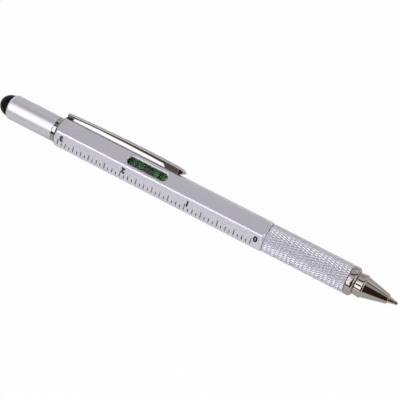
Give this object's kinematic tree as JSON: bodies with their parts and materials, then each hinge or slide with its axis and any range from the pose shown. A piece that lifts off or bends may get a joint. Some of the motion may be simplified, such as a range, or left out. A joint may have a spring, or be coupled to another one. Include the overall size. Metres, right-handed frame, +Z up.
{
  "type": "multi tool pen",
  "caption": "Twist ball pen with a hexagonal ruler barrel, bubble level, pocket clip, soft stylus tip and a screwdriver bit under the screw cap.",
  "frame": {"origin": "centre of the barrel's lower flat, which rests on the table", "axes": "+X along the pen towards the writing tip, +Z up out of the flat with the level's window, +Y towards the clip's side"},
  "size_m": [0.155, 0.0137, 0.0109],
  "materials": {
    "anodised_aluminium": "satin anodised",
    "turned_aluminium": "bright turned, knurled on the grip",
    "chrome": "polished",
    "steel": "hardened, satin",
    "magnet": "plain",
    "brass": "turned",
    "black_rubber": "smooth, slightly glossy",
    "black_plastic": "matte",
    "white_plastic": "matte",
    "clear_plastic": "clear, polished",
    "green_liquid": "clear green liquid",
    "bubble_air": "air behind liquid",
    "ink": "wet ink"
  },
  "bodies": {
    "barrel": {"barrel": "anodised_aluminium", "clip_collar": "chrome", "bit_holder": "chrome", "bit_magnet": "magnet", "level_vial": "clear_plastic", "vial_liquid": "green_liquid", "vial_plug": "black_plastic", "level_spacer_rear": "white_plastic", "level_spacer_front": "white_plastic", "twist_housing": "white_plastic"},
    "bit": {"screwdriver_bit": "steel"},
    "stylus_tip": {"stylus_dome": "black_rubber", "stylus_plug": "black_plastic"},
    "cap": {"cap_tube": "turned_aluminium", "cap_insert": "brass"},
    "clip": {"clip": "chrome"},
    "grip": {"grip_sleeve": "turned_aluminium", "grip_bush": "brass", "twist_drive": "black_plastic", "nose_ring": "chrome", "nose_cone": "chrome"},
    "refill": {"refill_carrier": "white_plastic", "cam_pin": "steel", "refill_tube": "steel", "refill_ink": "ink", "refill_point": "chrome"},
    "ball": {"writing_ball": "steel"},
    "bubble": {"level_bubble": "bubble_air"}
  },
  "joints": [
    {"name": "bit_pull", "type": "slide", "parent": "barrel", "child": "bit", "axis": [-1, 0, 0], "range_m": [0, 0.02]},
    {"name": "cap_lift", "type": "slide", "parent": "bit", "child": "stylus_tip", "axis": [-1, 0, 0], "range_m": [0, 0.03]},
    {"name": "cap_turn", "type": "hinge", "parent": "stylus_tip", "child": "cap", "pos_m": [-0.0523, 0, 0.0051], "axis": [-1, 0, 0], "range_deg": [0, 1080]},
    {"name": "clip_flex", "type": "hinge", "parent": "barrel", "child": "clip", "pos_m": [-0.04075, 0.00593, 0.00852], "axis": [0, -0.5, 0.866], "range_deg": [0, 3.5], "stiffness_Nm_per_rad": 3},
    {"name": "grip_twist", "type": "hinge", "parent": "barrel", "child": "grip", "pos_m": [0.0411, 0, 0.0051], "axis": [1, 0, 0], "range_deg": [-180, 0]},
    {"name": "refill_slide", "type": "slide", "parent": "grip", "child": "refill", "axis": [1, 0, 0], "range_m": [-0.006, 0]},
    {"name": "ball_roll", "type": "hinge", "parent": "refill", "child": "ball", "pos_m": [0.08825, 0, 0.0051], "axis": [0, 1, 0], "continuous": true},
    {"name": "bubble_slide", "type": "slide", "parent": "barrel", "child": "bubble", "axis": [1, 0, 0], "range_m": [-0.003, 0.003]}
  ],
  "couplings": [
    {"joint": "refill_slide", "follows": "grip_twist", "m_per_rad": 0.0019099}
  ]
}
